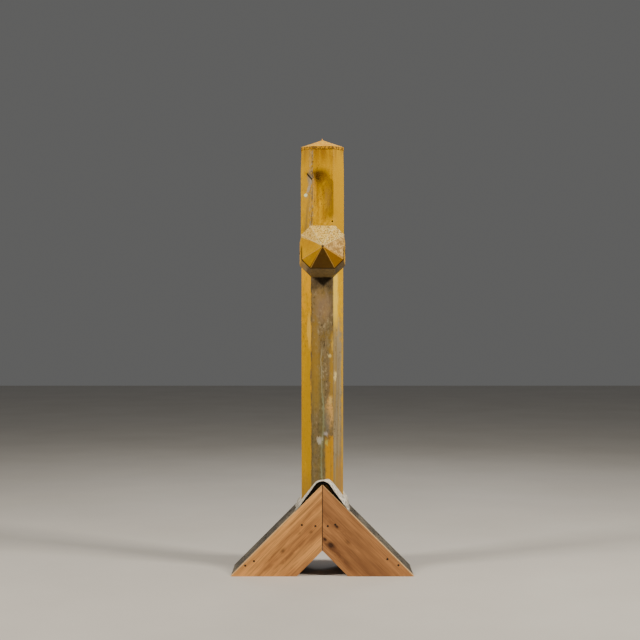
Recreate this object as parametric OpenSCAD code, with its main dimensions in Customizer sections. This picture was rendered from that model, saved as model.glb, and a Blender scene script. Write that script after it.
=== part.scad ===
/* [Overall] */
// Height of the rim of the mast cap above the floor
rim_height = 1998; // [1900:2100]
// Height of the arm's pivot axis above the floor
pivot_height = 1489; // [1440:1520]
// Distance from the pivot axis to the tip of the arm
arm_reach = 800; // [640:960]
// Height of the roof-shaped base at its ridge, equal to its half width
ridge_height = 425; // [400:510]
// Depth of the base from front face to back face
base_depth = 275; // [265:330]

/* [Mast] */
// Width across the flats of the lower mast shell
mast_width = 196; // [190:204]
// Width of each main flat of the mast shell
mast_flat = 100; // [90:110]
// Sheet thickness of the mast shells
mast_wall = 3; // [2:4]
// Width across the flats of the upper shell where it laps over the lower one
upper_width = 202.6; // [202.4:203.4]
// Height of the lap joint's lower edge above the pivot axis
lap_rise = 71; // [66:80]
// Length of the lap of the upper shell over the lower one
lap_length = 40; // [25:60]
// Height of the cap's pyramid above the rim
cap_rise = 40; // [25:60]
// Sheet thickness of the cap
cap_wall = 1.5; // [1.2:2.5]
// Depth of the folded lip of the cap
cap_lip = 13; // [8:20]
// Height of the pointed tip on the cap
tip_rise = 8; // [5:15]

/* [Arm] */
// Width across the flats of the arm at its cheeks
arm_root_width = 207.6; // [207:212]
// Width of each main flat of the arm at its cheeks
arm_root_flat = 102; // [90:110]
// Sheet thickness of the arm
arm_wall = 1.8; // [1.5:2]
// Width across the flats of the arm's nose ring
nose_width = 179.6; // [170:190]
// Width of each main flat of the nose ring
nose_flat = 104; // [90:110]
// Length of the faceted nose from its ring to its tip
nose_length = 87; // [60:110]
// Distance from the pivot at which the arm begins to narrow
taper_start = 200; // [190:230]
// Lift of the arm between its stop and its clear position
arm_lift = 45; // [30:45]

/* [Pivot] */
// Radius of the spindle
spindle_r = 12.5; // [10:14]
// Running clearance between spindle and bush
spindle_play = 0.05; // [0.02:0.09]
// Outer radius of the bush barrel
bush_r = 16; // [15:18]
// Radius of the bush flange
bush_flange_r = 24; // [20:27]
// Thickness of the bush flange
bush_flange = 5; // [3:6]
// Thickness of the bearing plate
plate_thick = 5.7; // [4:8]
// Half width of the square bearing plate
plate_half = 45; // [40:48]
// Radius of the crank from spindle to pin
crank_r = 60; // [45:64]
// Radius of the crank pin
crank_pin_r = 6; // [5:7]
// Thickness of the crank web
crank_thick = 10; // [8:12]
// Radius of the stop bar
stop_r = 8; // [6:9]

/* [Rod] */
// Radius of the down rod
rod_r = 6; // [5:7]
// Height of the operating eye's centre above the floor
eye_height = 182; // [178:200]
// Radius of the hole in the operating eye
eye_hole_r = 5; // [4:6]

/* [Base] */
// Width of each roof board across its face
board_width = 216; // [180:240]
// Thickness of the front and back boards
board_thick = 38; // [30:40]
// Thickness of the sheathing boards under the sheet
sheathing_thick = 18; // [15:22]
// Thickness of the sheet-metal aprons
apron_thick = 1.2; // [1:2]
// Sheet thickness of the ridge collar
collar_wall = 2; // [1.5:3]
// Radius of the top bend of the ridge collar
collar_r = 45; // [42:52]
// Thickness of the bitumen felt under the front of the collar
felt_thick = 11; // [8:12]
// Half width of the ridge collar
collar_half = 130; // [120:140]
// Width and depth of the timber king post
post_size = 90; // [80:92]
// Radius of the hold-down holes under the feet
hold_r = 6.5; // [5:8]
// Depth of the hold-down holes
hold_depth = 30; // [20:32]

/* [Clearances] */
// Gap between neighbouring pieces that are seated on each other
seat = 0.3; // [0.2:0.4]
// Radial gap round a screw, bolt or rivet in its hole
hole_gap = 0.25; // [0.2:0.3]

/* [Hidden] */
r2 = sqrt(2);
wedge = 2 - r2;                                   // cut shortening for each unit of inward offset
mast_half = mast_width / 2;
mast_cut = mast_half - mast_flat / 2;
up_half = upper_width / 2;
up_cut = mast_cut + (up_half - mast_half) * wedge;
up_wall = up_half - mast_half - seat;             // the lap closes with one seat gap
lap_z = pivot_height + lap_rise;
lower_top = lap_z + lap_length;
neck_z = rim_height - 120;                        // the upper shell narrows above here
arm_half = arm_root_width / 2;
arm_cut = arm_half - arm_root_flat / 2;
nose_half = nose_width / 2;
nose_cut = nose_half - nose_flat / 2;
nose_d = arm_reach - nose_length;                 // distance of the nose ring from the pivot
skirt = 15;                                       // length of the nose's skirt over the arm
end_half = nose_half - arm_wall - seat - 0.6;     // arm shell where it enters the skirt
end_cut = nose_cut - (nose_half - end_half) * wedge;
arm_clear = up_half + 1.7;                        // the arm's front cut clears the mast by this plane
cheek_in = arm_half - arm_wall;
sweep = arm_clear / cos(arm_lift);                // slanted cut for the lifted arm
front = -base_depth / 2;
back = base_depth / 2;
in_front = front + board_thick + seat;
in_back = back - board_thick - seat;
ridge_in = ridge_height - board_width * r2;       // inner apex of the boards
apron_d0 = 0;
apron_d1 = apron_thick;
shea_d0 = apron_thick + seat;
shea_d1 = shea_d0 + sheathing_thick;
half_post = post_size / 2;
post_front = -(mast_half - mast_wall) + 15;
post_back = post_front + post_size;
post_top = pivot_height - 109;
post_foot = ridge_in + 12;
rod_y = crank_r * (1 + cos(arm_lift / 2)) / 2;
pin_y = crank_r * cos(arm_lift / 2);
pin_z = crank_r * sin(arm_lift / 2);
rod_travel = 2 * pin_z;
slot_half = (crank_r - pin_y) / 2 + crank_pin_r + 0.5;
purlin_in = half_post + seat;
purlin_out = purlin_in + 40;
purlin_foot = ridge_height - 185;
bolt_z = purlin_foot + 30;
plate_x1 = mast_half - mast_wall - seat;
plate_x0 = plate_x1 - plate_thick;
boss_half = plate_x0 - seat;                      // bush flange face, stop bar half length
screw_pts = [[-95, 238], [-32, 233], [25, 233], [60, 240], [-317, 71], [-357, 50], [301, 80], [352, 52]];
batten_in = 262;
batten_out = 388;
hold_x = 318;
hold_y = base_depth / 2 - board_thick - 40;

// a square of the given half width with its corners cut off
module oct2(h, c) {
  polygon([[h, h - c], [h - c, h], [c - h, h], [-h, h - c],
    [-h, c - h], [c - h, -h], [h - c, -h], [h, c - h]]);
}

// straight-sided tube section between two heights
module tube(h, c, t, z0, z1) {
  translate([0, 0, z0]) linear_extrude(z1 - z0) difference() {
    oct2(h, c);
    oct2(h - t, c - t * wedge);
  }
}

function octpts(h, c, z) = [[h, h - c, z], [h - c, h, z], [c - h, h, z], [-h, h - c, z],
  [-h, c - h, z], [c - h, -h, z], [h - c, -h, z], [h, c - h, z]];

// solid that joins two such sections of different size with flat sides
module frustum(z0, h0, c0, z1, h1, c1) {
  polyhedron(
    points = concat(octpts(h0, c0, z0), octpts(h1, c1, z1)),
    faces = concat(
      [[0, 1, 2, 3, 4, 5, 6, 7]], [[15, 14, 13, 12, 11, 10, 9, 8]],
      [for (i = [0:7]) [i, i + 8, (i + 1) % 8 + 8, (i + 1) % 8]]));
}

// extrusion of a front-view outline between two depths
module slab(y0, y1) {
  translate([0, y1, 0]) rotate([90, 0, 0]) linear_extrude(y1 - y0) children();
}

// brings arm-length coordinates (x, height, distance) to the pivot
module along_arm() {
  translate([0, 0, pivot_height]) rotate([90, 0, 0]) children();
}

// cylinder along X between two stations, at height z and depth y
module xcyl(r, x0, x1, y, z) {
  translate([x0, y, z]) rotate([0, 90, 0]) cylinder(r = r, h = x1 - x0, $fn = 48);
}

module ycyl(r, y0, y1, x, z) {
  translate([x, y1, z]) rotate([90, 0, 0]) cylinder(r = r, h = y1 - y0, $fn = 36);
}

// the roof planes as a solid lifted by a small amount
module roof_solid(lift) {
  slab(-200, 200) polygon([[-600, ridge_height - 600 + lift], [0, ridge_height + lift],
    [600, ridge_height - 600 + lift], [600, -400], [-600, -400]]);
}

module right_layer(d0, d1) {
  slab(in_front, in_back) polygon([[seat / 2, ridge_height - seat / 2 - d0 * r2],
    [ridge_height - 1 - d0 * r2, 1], [ridge_height - 1 - d1 * r2, 1],
    [seat / 2, ridge_height - seat / 2 - d1 * r2]]);
}

module shaft_opening() {
  translate([-half_post - 0.6, post_front - 1.2, 0])
    cube([post_size + 1.2, rod_y + 24 - post_front, ridge_height + 50]);
}

/* ---- fasteners ---- */
module face_screws(g) {
  for (p = screw_pts) {
    ycyl(2.5 + g, front - g, in_front + 14 + g, p[0], p[1]);
    translate([p[0], front - 0.01, p[1]]) rotate([-90, 0, 0])
      cylinder(r1 = 5 + g, r2 = 2.5 + g, h = 3, $fn = 36);
  }
}

module rear_screws(g) {
  for (p = screw_pts) {
    ycyl(2.5 + g, in_back - 14 - g, back + g, p[0], p[1]);
    translate([p[0], back + 0.01, p[1]]) rotate([90, 0, 0])
      cylinder(r1 = 5 + g, r2 = 2.5 + g, h = 3, $fn = 36);
  }
}

module plate_screws(g) {
  for (y = [-33, 33], z = [-33, 33]) {
    xcyl(2.5 + g, plate_x0 - g, mast_half + 1, y, pivot_height + z);
    if (g == 0) xcyl(5.5, mast_half + 0.05, mast_half + 2, y, pivot_height + z);
  }
}

module rivets_lap(g) {
  for (x = [-36, 0, 36]) {
    ycyl(2 + g, mast_half - mast_wall - g, up_half + 0.8, x, lap_z + lap_length / 2);
    if (g == 0) ycyl(4.5, up_half + 0.05, up_half + 1.8, x, lap_z + lap_length / 2);
  }
}

module rivets_nose(g) {
  for (a = [0:90:270]) along_arm() rotate([0, 0, a]) {
    translate([0, nose_half + 0.8, nose_d - skirt / 2]) rotate([90, 0, 0])
      cylinder(r = 2 + g, h = 5.2 + g, $fn = 24);
    if (g == 0) translate([0, nose_half + 1.3, nose_d - skirt / 2]) rotate([90, 0, 0])
      cylinder(r = 3.6, h = 1.25, $fn = 24);
  }
}

module nail_shape(g) {
  for (s = [-1, 1], q = [[155, -60], [155, 70], [270, -75], [270, 0], [270, 78], [372, -62], [372, 60]])
    translate([s * q[0], q[1], ridge_height - q[0]]) rotate([0, s * 45, 0]) {
      translate([0, 0, -14 - g]) cylinder(r = 1.6 + g, h = 14.4 + g, $fn = 20);
      if (g == 0) translate([0, 0, 0.1]) cylinder(r = 4, h = 1.3, $fn = 24);
    }
}

module post_bolts(g) {
  for (y = [post_front + 22, post_back - 22]) {
    xcyl(6 + g, -purlin_out - 4 - g, purlin_out + 4 + g, y, bolt_z);
    if (g == 0) for (s = [-1, 1]) translate([s * (purlin_out + seat + 4), y, bolt_z])
      rotate([0, 90, 0]) cylinder(r = 11, h = 7.6, center = true, $fn = 6);
  }
}

module string_screws(g) {
  for (s = [-1, 1], d = [240, 420, 600]) {
    xx = arm_face(d);
    translate([s * (xx + 0.5), -d, pivot_height]) rotate([0, -s * 90, 0])
      cylinder(r = 2.5 + g, h = 18 + g, $fn = 24);
    if (g == 0) translate([s * (xx + 1.6), -d, pivot_height]) rotate([0, -s * 90, 0])
      cylinder(r = 5, h = 1.3, $fn = 24);
  }
}

// half width of the arm's outside at a distance from the pivot
function arm_face(d) = arm_half + (end_half - arm_half) * max(0, d - taper_start) / (nose_d - seat - taper_start);

/* ---- mast ---- */
module mast_lower_shell() color([0.62, 0.52, 0.36]) difference() {
  tube(mast_half, mast_cut, mast_wall, ridge_height - mast_half - 20, lower_top);
  roof_solid(seat * r2);
  xcyl(bush_r + seat, -mast_half - 5, mast_half + 5, 0, pivot_height);
  plate_screws(hole_gap);
  mirror([1, 0, 0]) plate_screws(hole_gap);
  rivets_lap(hole_gap);
}

module mast_upper_shell() color([0.82, 0.62, 0.07]) difference() {
  union() {
    tube(up_half, up_cut, up_wall, lap_z, neck_z);
    difference() {
      frustum(neck_z, up_half, up_cut, rim_height, mast_half, mast_cut);
      frustum(neck_z - 0.01, up_half - up_wall, up_cut - up_wall * wedge,
        rim_height + 0.01, mast_half - up_wall, mast_cut - up_wall * wedge);
    }
  }
  rivets_lap(hole_gap);
  ycyl(4, -up_half - 5, -up_half + 12, 46, pivot_height + 157);
}

module mast_cap() color([0.85, 0.66, 0.15]) {
  rim_half = mast_half + seat + cap_wall + 0.6;
  rim_cut = mast_cut + (rim_half - mast_half) * wedge;
  difference() {
    union() {
      frustum(rim_height + seat, rim_half, rim_cut, rim_height + cap_rise, 3, 1.2);
      tube(rim_half, rim_cut, cap_wall, rim_height - cap_lip, rim_height + seat + 0.01);
    }
    frustum(rim_height + seat - 0.01, rim_half - 6, rim_cut - 6 * wedge, rim_height + cap_rise - 2.4, 1, 0.3);
  }
}

module cap_tip() color([0.80, 0.62, 0.2])
  translate([0, 0, rim_height + cap_rise + 0.05]) rotate_extrude($fn = 32)
    polygon([[0, 0], [3, 0], [3.6, 1.6], [2.2, 3], [1.2, tip_rise - 0.6], [0, tip_rise]]);

module seam(h, c, z0, z1) {
  translate([0, 0, z0]) linear_extrude(z1 - z0)
    polygon([[-(h - c) - 1.2, -h + 1.2 - 0.42], [-(h - c) - 1.2 - 0.7, -h + 1.2 - 1.12],
      [-(h - c) - 13, -h + 13 - 1.12], [-(h - c) - 12.3, -h + 12.3 - 0.42]]);
}

module corner_seam_lower() color([0.5, 0.42, 0.3]) seam(mast_half, mast_cut, ridge_height + 45, lap_z - 2);
module corner_seam_upper() color([0.5, 0.42, 0.3]) seam(up_half, up_cut, lap_z + 2, neck_z - 2);
module lap_rivets() color([0.45, 0.42, 0.38]) rivets_lap(0);

module king_post() color([0.6, 0.45, 0.3]) difference() {
  translate([-half_post, post_front, post_foot]) cube([post_size, post_size, post_top - post_foot]);
  post_bolts(hole_gap);
}

module packer(z0) {
  translate([-half_post, -(mast_half - mast_wall) + seat, z0])
    cube([post_size, 15 - 2 * seat, 90]);
}

module post_packer_upper() color([0.55, 0.42, 0.28]) packer(post_top - 130);
module post_packer_lower() color([0.55, 0.42, 0.28]) packer(ridge_height + 90);
module king_post_bolts() color([0.4, 0.4, 0.42]) post_bolts(0);

module bearing_plate() difference() {
  translate([plate_x0, -plate_half, pivot_height - plate_half])
    cube([plate_thick, 2 * plate_half, 2 * plate_half]);
  xcyl(bush_r + seat, plate_x0 - 5, plate_x1 + 5, 0, pivot_height);
  plate_screws(hole_gap);
}

module bearing_bush() difference() {
  union() {
    xcyl(bush_r, boss_half - bush_flange, mast_half, 0, pivot_height);
    xcyl(bush_flange_r, boss_half - bush_flange, boss_half, 0, pivot_height);
  }
  xcyl(spindle_r + spindle_play, boss_half - bush_flange - 1, mast_half + 1, 0, pivot_height);
}

module bearing_plate_right() color([0.45, 0.45, 0.47]) bearing_plate();
module bearing_plate_left() color([0.45, 0.45, 0.47]) mirror([1, 0, 0]) bearing_plate();
module bearing_bush_right() color([0.72, 0.55, 0.25]) bearing_bush();
module bearing_bush_left() color([0.72, 0.55, 0.25]) mirror([1, 0, 0]) bearing_bush();
module bearing_screws_right() color([0.4, 0.4, 0.42]) plate_screws(0);
module bearing_screws_left() color([0.4, 0.4, 0.42]) mirror([1, 0, 0]) plate_screws(0);

module rod_guide(z) difference() {
  translate([-20, rod_y - 16, z - 12]) cube([40, mast_half - mast_wall - seat - rod_y + 16, 24]);
  translate([0, rod_y, z - 20]) cylinder(r = rod_r + seat, h = 40, $fn = 48);
}

module rod_guide_upper() color([0.35, 0.35, 0.36]) rod_guide(pivot_height - 190);
module rod_guide_lower() color([0.35, 0.35, 0.36]) rod_guide(ridge_height + 65);

module stop_bar() color([0.4, 0.4, 0.42]) {
  a = arm_lift / 2;
  n = crank_thick + stop_r + seat;
  xcyl(stop_r, -boss_half, boss_half, 35 * cos(a) - n * sin(a), pivot_height + 35 * sin(a) + n * cos(a));
}

/* ---- base ---- */
module board(y0, y1) slab(y0, y1)
  polygon([[seat / 2, ridge_in - seat / 2], [seat / 2, ridge_height - seat / 2], [ridge_height, 0], [ridge_in, 0]]);

module front_board_right() color([0.65, 0.45, 0.29]) difference() {
  board(front, front + board_thick);
  face_screws(hole_gap);
}

module front_board_left() color([0.70, 0.5, 0.32]) difference() {
  mirror([1, 0, 0]) board(front, front + board_thick);
  face_screws(hole_gap);
}

module back_board_right() color([0.62, 0.44, 0.29]) difference() {
  board(back - board_thick, back);
  rear_screws(hole_gap);
}

module back_board_left() color([0.62, 0.44, 0.29]) difference() {
  mirror([1, 0, 0]) board(back - board_thick, back);
  rear_screws(hole_gap);
}

module cleat(y0, y1) slab(y0, y1)
  polygon([[-130, ridge_in + 14], [130, ridge_in + 14], [130, ridge_height - 165], [60, ridge_height - 95],
    [-60, ridge_height - 95], [-130, ridge_height - 165]]);

module apex_cleat_front() color([0.55, 0.42, 0.3]) difference() {
  cleat(in_front, post_front - seat);
  face_screws(hole_gap);
}

module apex_cleat_back() color([0.55, 0.42, 0.3]) difference() {
  cleat(in_back - 18, in_back);
  rear_screws(hole_gap);
}

module batten() difference() {
  slab(in_front, in_back) polygon([[batten_in, 0], [batten_out, 0],
    [batten_out, ridge_height - batten_out - (shea_d1 + seat) * r2],
    [batten_in + 50, ridge_height - batten_in - 50 - (shea_d1 + seat) * r2], [batten_in, 60]]);
  for (y = [-hold_y, hold_y]) translate([hold_x, y, -1]) cylinder(r = hold_r, h = hold_depth + 1, $fn = 48);
}

module foot_batten_right() color([0.52, 0.4, 0.28]) difference() {
  batten();
  face_screws(hole_gap);
  rear_screws(hole_gap);
}

module foot_batten_left() color([0.52, 0.4, 0.28]) difference() {
  mirror([1, 0, 0]) batten();
  face_screws(hole_gap);
  rear_screws(hole_gap);
}

module purlin() difference() {
  under = (shea_d1 + seat) * r2;
  slab(post_front, in_back - 18 - seat) polygon([[purlin_in, purlin_foot], [purlin_out, purlin_foot],
    [purlin_out, ridge_height - purlin_out - under], [purlin_in, ridge_height - purlin_in - under]]);
  post_bolts(hole_gap);
}

module ridge_purlin_right() color([0.56, 0.43, 0.3]) purlin();
module ridge_purlin_left() color([0.56, 0.43, 0.3]) mirror([1, 0, 0]) purlin();

module sheathing() difference() {
  right_layer(shea_d0, shea_d1);
  shaft_opening();
}

module sheathing_right() color([0.5, 0.42, 0.33]) difference() {
  sheathing();
  face_screws(hole_gap);
  rear_screws(hole_gap);
  nail_shape(hole_gap);
}

module sheathing_left() color([0.5, 0.42, 0.33]) difference() {
  mirror([1, 0, 0]) sheathing();
  face_screws(hole_gap);
  rear_screws(hole_gap);
  nail_shape(hole_gap);
}

module apron() difference() {
  right_layer(apron_d0, apron_d1);
  shaft_opening();
}

module apron_sheet_right() color([0.5, 0.48, 0.44]) difference() {
  apron();
  nail_shape(hole_gap);
}

module apron_sheet_left() color([0.5, 0.48, 0.44]) difference() {
  mirror([1, 0, 0]) apron();
  nail_shape(hole_gap);
}

module apron_nails() color([0.35, 0.3, 0.26]) nail_shape(0);

// front-view outline of the saddle, filled down to the middle
module saddle(r) {
  a = 54;
  cz = ridge_height - 26;
  off = collar_r - r;
  foot = collar_half - off * cos(36);
  polygon(concat(
    [[-foot, cz + r * cos(a) - (foot - r * sin(a)) * tan(a)]],
    [for (t = [-a:6:a]) [r * sin(t), cz + r * cos(t)]],
    [[foot, cz + r * cos(a) - (foot - r * sin(a)) * tan(a)], [foot, 0], [-foot, 0]]));
}

module ridge_collar() color([0.8, 0.78, 0.72]) difference() {
  slab(front, back) difference() {
    saddle(collar_r);
    saddle(collar_r - collar_wall);
    polygon([[-400, ridge_height - 400 + seat * r2], [0, ridge_height + seat * r2],
      [400, ridge_height - 400 + seat * r2], [400, -10], [-400, -10]]);
  }
  linear_extrude(rim_height) oct2(mast_half + 0.4, mast_cut + 0.4 * wedge);
}

module ridge_felt() color([0.1, 0.1, 0.1]) slab(front + 3, -mast_half - 1) difference() {
  saddle(collar_r - collar_wall - seat);
  saddle(collar_r - collar_wall - seat - felt_thick);
  polygon([[-400, ridge_height - 400 + seat * r2], [0, ridge_height + seat * r2],
    [400, ridge_height - 400 + seat * r2], [400, -10], [-400, -10]]);
}

module front_screws() color([0.3, 0.29, 0.28]) face_screws(0);
module back_screws() color([0.3, 0.29, 0.28]) rear_screws(0);

/* ---- arm ---- */
module arm_body(t) {
  frustum(0, arm_half - t, arm_cut - t * wedge, taper_start, arm_half - t, arm_cut - t * wedge);
  frustum(taper_start, arm_half - t, arm_cut - t * wedge,
    nose_d - seat, end_half - t, end_cut - t * wedge);
}

// space swept by the mast as seen from the arm, between the cheeks
module mast_sweep(half) {
  translate([half, 0, pivot_height]) rotate([0, -90, 0]) linear_extrude(2 * half)
    polygon([[-400, 300], [-400, -arm_clear], [arm_clear - sweep, -arm_clear],
      [400, -400 - sweep], [400, 300]]);
}

module arm_shell() color([0.78, 0.6, 0.1]) difference() {
  union() {
    difference() {
      along_arm() difference() {
        arm_body(0);
        arm_body(arm_wall);
        translate([0, 0, nose_d - seat - 0.5]) linear_extrude(2)
          oct2(end_half - arm_wall, end_cut - arm_wall * wedge);
      }
      mast_sweep(cheek_in);
      translate([-150, -80, pivot_height + arm_root_flat / 2]) cube([300, 160, 150]);
      translate([-150, -80, pivot_height - arm_root_flat / 2 - 150]) cube([300, 160, 150]);
    }
    for (s = [0, 1]) mirror([s, 0, 0]) xcyl(arm_root_flat / 2, cheek_in, arm_half, 0, pivot_height);
  }
  for (s = [0, 1]) mirror([s, 0, 0]) xcyl(spindle_r + seat, cheek_in - 3, arm_half + 3, 0, pivot_height);
  rivets_nose(hole_gap);
  string_screws(hole_gap);
}

module arm_nose() color([0.83, 0.7, 0.4]) difference() {
  along_arm() difference() {
    union() {
      frustum(nose_d, nose_half, nose_cut, arm_reach, 0.8, 0.3);
      translate([0, 0, nose_d - skirt]) linear_extrude(skirt + 0.01) oct2(nose_half, nose_cut);
    }
    frustum(nose_d - 0.01, nose_half - arm_wall, nose_cut - arm_wall * wedge, arm_reach - 5, 0.5, 0.2);
    translate([0, 0, nose_d - skirt - 1]) linear_extrude(skirt + 1)
      oct2(nose_half - arm_wall, nose_cut - arm_wall * wedge);
  }
  rivets_nose(hole_gap);
}

module nose_rivets() color([0.5, 0.42, 0.25]) rivets_nose(0);

// bulkhead that fills the arm between two distances from the pivot
module former(d0, d1) {
  t = arm_wall + seat;
  h0 = arm_face(d0) - t;
  h1 = arm_face(d1) - t;
  k = (end_cut - arm_cut) / (end_half - arm_half);
  along_arm() frustum(d0, h0, arm_cut + (h0 + t - arm_half) * k - t * wedge,
    d1, h1, arm_cut + (h1 + t - arm_half) * k - t * wedge);
}

module arm_former_front() color([0.58, 0.44, 0.3]) difference() {
  former(nose_d - 40, nose_d - 22);
  along_arm() translate([0, 0, nose_d - 50]) cylinder(r = 30, h = 40, $fn = 64);
  for (s = [0, 1]) mirror([s, 0, 0]) translate([arm_face(nose_d) - 30.4, -nose_d + 10, pivot_height - 40.3])
    cube([90, 50, 80.6]);
}

module arm_former_rear() color([0.58, 0.44, 0.3]) difference() {
  former(300, 318);
  along_arm() translate([0, 0, 290]) cylinder(r = 30, h = 40, $fn = 64);
  for (s = [0, 1]) mirror([s, 0, 0]) translate([arm_face(nose_d) - 30.4, -330, pivot_height - 40.3])
    cube([90, 50, 80.6]);
}

module stringer() intersection() {
  former(215, nose_d - 22);
  translate([arm_face(nose_d) - 30, -nose_d, pivot_height - 40]) cube([150, nose_d, 80]);
}

module arm_stringer_right() color([0.6, 0.45, 0.3]) difference() {
  stringer();
  string_screws(hole_gap);
}

module arm_stringer_left() color([0.6, 0.45, 0.3]) difference() {
  mirror([1, 0, 0]) stringer();
  string_screws(hole_gap);
}

module stringer_screws() color([0.4, 0.38, 0.33]) string_screws(0);

module cheek_washer() difference() {
  xcyl(26, arm_half + 0.05, arm_half + 1.6, 0, pivot_height);
  xcyl(spindle_r + 0.2, arm_half - 3, arm_half + 5, 0, pivot_height);
}

module cheek_washer_right() color([0.5, 0.45, 0.35]) cheek_washer();
module cheek_washer_left() color([0.5, 0.45, 0.35]) mirror([1, 0, 0]) cheek_washer();

module crank_frame() {
  translate([0, 0, pivot_height]) rotate([arm_lift / 2, 0, 0]) children();
}

module spindle() color([0.55, 0.55, 0.57]) difference() {
  xcyl(spindle_r, -arm_half - 1.6, arm_half + 1.6, 0, pivot_height);
  crank_frame() translate([-8.8, 0, -30]) cylinder(r = 3 + hole_gap, h = 60, $fn = 24);
}

module crank() color([0.38, 0.38, 0.4]) difference() {
  crank_frame() {
    xcyl(22, -12, 12, 0, 0);
    translate([-crank_thick / 2, 0, -crank_thick]) cube([crank_thick, crank_r, 2 * crank_thick]);
    xcyl(crank_thick, -crank_thick / 2, crank_thick / 2, crank_r, 0);
  }
  xcyl(spindle_r + 0.2, -20, 20, 0, pivot_height);
  crank_frame() {
    xcyl(crank_pin_r + 0.2, -20, 20, crank_r, 0);
    translate([-8.8, 0, -30]) cylinder(r = 3 + hole_gap, h = 60, $fn = 24);
  }
}

module crank_taper_pin() color([0.6, 0.6, 0.62])
  crank_frame() translate([-8.8, 0, -23]) cylinder(r1 = 2.9, r2 = 3, h = 46, $fn = 24);

module crank_pin() color([0.6, 0.6, 0.62]) crank_frame() xcyl(crank_pin_r, -14, 14, crank_r, 0);

/* ---- rod ---- */
module rod_yoke() color([0.4, 0.4, 0.42]) translate([0, rod_y, pivot_height + pin_z]) difference() {
  union() {
    translate([-12, -16, -34]) cube([24, 32, 48]);
    translate([0, 0, -52]) cylinder(r = 11.5, h = 20, $fn = 48);
  }
  translate([-crank_thick / 2 - 0.8, -20, -22]) cube([crank_thick + 1.6, 40, 60]);
  translate([-20, -slot_half, -(crank_pin_r + 0.5)]) cube([40, 2 * slot_half, 2 * (crank_pin_r + 0.5)]);
  translate([0, 0, -53]) cylinder(r = rod_r + 0.2, h = 27, $fn = 48);
}

module down_rod() color([0.45, 0.45, 0.47])
  translate([0, rod_y, eye_height + 14])
    cylinder(r = rod_r, h = pivot_height + pin_z - 40.5 - eye_height, $fn = 48);

module rod_eye() color([0.4, 0.4, 0.42]) translate([0, rod_y, eye_height]) difference() {
  union() {
    xcyl(14, -5, 5, 0, 0);
    translate([0, 0, 8]) cylinder(r = 10, h = 26, $fn = 48);
  }
  xcyl(eye_hole_r, -10, 10, 0, 0);
  translate([0, 0, 13.7]) cylinder(r = rod_r + 0.2, h = 30, $fn = 48);
}

mast_lower_shell();
mast_upper_shell();
mast_cap();
cap_tip();
corner_seam_lower();
corner_seam_upper();
lap_rivets();
king_post();
post_packer_upper();
post_packer_lower();
king_post_bolts();
bearing_plate_left();
bearing_plate_right();
bearing_bush_left();
bearing_bush_right();
bearing_screws_left();
bearing_screws_right();
rod_guide_upper();
rod_guide_lower();
stop_bar();
front_board_left();
front_board_right();
back_board_left();
back_board_right();
apex_cleat_front();
apex_cleat_back();
foot_batten_left();
foot_batten_right();
ridge_purlin_left();
ridge_purlin_right();
sheathing_left();
sheathing_right();
apron_sheet_left();
apron_sheet_right();
apron_nails();
ridge_collar();
ridge_felt();
front_screws();
back_screws();
arm_shell();
arm_nose();
nose_rivets();
arm_former_front();
arm_former_rear();
arm_stringer_left();
arm_stringer_right();
stringer_screws();
cheek_washer_left();
cheek_washer_right();
spindle();
crank();
crank_taper_pin();
crank_pin();
down_rod();
rod_yoke();
rod_eye();
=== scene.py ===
import math
import random

import bmesh
import bpy
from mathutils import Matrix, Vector, noise


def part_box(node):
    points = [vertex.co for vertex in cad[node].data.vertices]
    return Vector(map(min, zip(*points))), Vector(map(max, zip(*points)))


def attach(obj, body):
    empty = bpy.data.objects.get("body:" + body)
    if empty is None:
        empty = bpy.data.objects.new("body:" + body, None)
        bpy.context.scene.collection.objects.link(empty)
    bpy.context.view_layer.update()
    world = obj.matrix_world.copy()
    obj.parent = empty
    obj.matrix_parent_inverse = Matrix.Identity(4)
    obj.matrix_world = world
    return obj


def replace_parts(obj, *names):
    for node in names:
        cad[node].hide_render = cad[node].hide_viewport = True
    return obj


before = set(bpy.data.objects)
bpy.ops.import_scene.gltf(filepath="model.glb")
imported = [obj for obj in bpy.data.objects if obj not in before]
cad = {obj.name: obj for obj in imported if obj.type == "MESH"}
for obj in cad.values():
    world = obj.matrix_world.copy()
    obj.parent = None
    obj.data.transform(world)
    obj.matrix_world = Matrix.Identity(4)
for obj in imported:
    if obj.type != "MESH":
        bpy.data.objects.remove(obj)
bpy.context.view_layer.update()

# ---- Floor, studio light and camera ----
# The signal stands on a plain pale floor. Two soft side boxes light its right side a little
# more than its left, and the lens is level with the lower half of the mast.

LENS_PLACE, LENS_MM, SENSOR_MM = (-0.011, -5.691, 1.187), 67.5, 36
WARM, MILD, COOL = (1.0, 0.93, 0.80), (1.0, 0.95, 0.88), (0.97, 0.97, 1.0)
MAST_MIDDLE = (0, -0.1, 1.25)
ROOM_TONE, ROOM_STRENGTH = (0.80, 0.80, 0.79, 1), 0.15
FLOOR_CORNERS = [(-14, -12, 0), (14, -12, 0), (14, 16, 0), (-14, 16, 0)]


def link(obj):
    bpy.context.scene.collection.objects.link(obj)
    return obj


def to_linear(rgb):
    """Linear colour of a pigment."""
    shares = (v / 255.0 for v in rgb)
    return tuple(c / 12.92 if c <= 0.04045 else ((c + 0.055) / 1.055) ** 2.4 for c in shares) + (1.0,)


camera = link(bpy.data.objects.new("camera", bpy.data.cameras.new("camera")))
camera.location = LENS_PLACE
camera.rotation_euler = (math.radians(90), 0, 0)
camera.data.lens = LENS_MM
camera.data.sensor_width = SENSOR_MM
bpy.context.scene.camera = camera


def soft_box(name, place, target, size, power, tint):
    lamp = bpy.data.lights.new(name, "AREA")
    lamp.shape = "RECTANGLE"
    (lamp.size, lamp.size_y), lamp.energy, lamp.color = size, power, tint
    obj = link(bpy.data.objects.new(name, lamp))
    obj.location = place
    obj.rotation_euler = (Vector(target) - Vector(place)).to_track_quat("-Z", "Y").to_euler()


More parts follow.
